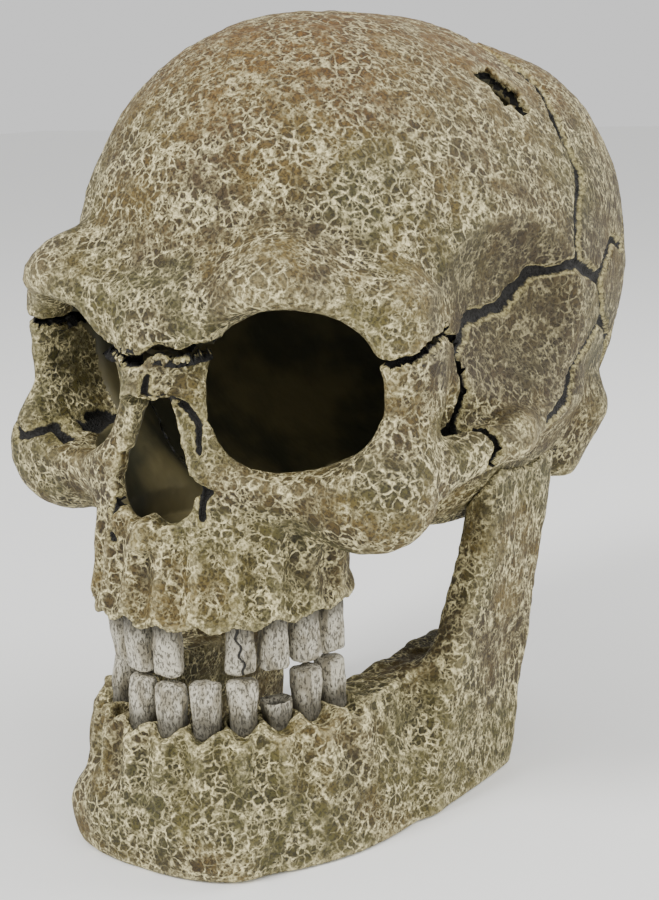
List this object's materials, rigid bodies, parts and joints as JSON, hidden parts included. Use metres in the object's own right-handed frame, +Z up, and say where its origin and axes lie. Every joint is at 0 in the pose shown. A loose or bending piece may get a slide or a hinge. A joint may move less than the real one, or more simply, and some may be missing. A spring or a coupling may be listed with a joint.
{
  "type": "aquarium bubbling skull ornament",
  "caption": "Hollow weathered skull that stands on its lower jaw in an aquarium, with an air inlet at the back and an air stone behind the nose opening.",
  "frame": {"origin": "on the tank floor, under the middle of the ornament's bounding box", "axes": "+Z up, -Y the way the face looks, +X the skull's own left"},
  "size_m": [0.147, 0.212, 0.22],
  "materials": {
    "painted_resin": "matt weathered paint with raised pale crackle",
    "tooth_resin": "matt grey-white with dark speckles",
    "steel_pin": "ground",
    "black_rubber": "matt",
    "clear_plastic": "gloss",
    "silicone_hose": "satin",
    "black_plastic": "satin",
    "sintered_stone": "grainy"
  },
  "bodies": {
    "skull": {"vault_casting": "painted_resin", "face_casting": "painted_resin", "lower_jaw": "painted_resin", "upper_tooth_left_1": "tooth_resin", "upper_tooth_left_3": "tooth_resin", "upper_tooth_left_4": "tooth_resin", "upper_tooth_left_5": "tooth_resin", "upper_tooth_left_6": "tooth_resin", "upper_tooth_right_1": "tooth_resin", "upper_tooth_right_2": "tooth_resin", "upper_tooth_right_3": "tooth_resin", "upper_tooth_right_4": "tooth_resin", "upper_tooth_right_5": "tooth_resin", "upper_tooth_right_6": "tooth_resin", "lower_tooth_left_1": "tooth_resin", "lower_tooth_left_2": "tooth_resin", "lower_tooth_left_3": "tooth_resin", "lower_tooth_left_4": "tooth_resin", "lower_tooth_left_5": "tooth_resin", "lower_tooth_left_6": "tooth_resin", "lower_tooth_right_1": "tooth_resin", "lower_tooth_right_3": "tooth_resin", "lower_tooth_right_4": "tooth_resin", "lower_tooth_right_5": "tooth_resin", "lower_tooth_right_6": "tooth_resin", "jaw_pin_left": "steel_pin", "jaw_pin_right": "steel_pin", "inlet_grommet": "black_rubber", "air_hose": "silicone_hose", "hose_clip_1": "black_plastic", "hose_clip_2": "black_plastic", "stone_stem": "clear_plastic", "stone_cradle": "black_plastic"},
    "elbow": {"inlet_elbow": "clear_plastic"},
    "stone": {"air_stone": "sintered_stone"}
  },
  "joints": [
    {"name": "inlet_swivel", "type": "hinge", "parent": "skull", "child": "elbow", "pos_m": [0, 0.102, 0.138], "axis": [0, 1, 0], "range_deg": [-90, 90]},
    {"name": "air_stone_pull", "type": "slide", "parent": "skull", "child": "stone", "axis": [0, -1, 0], "range_m": [0, 0.012]}
  ]
}
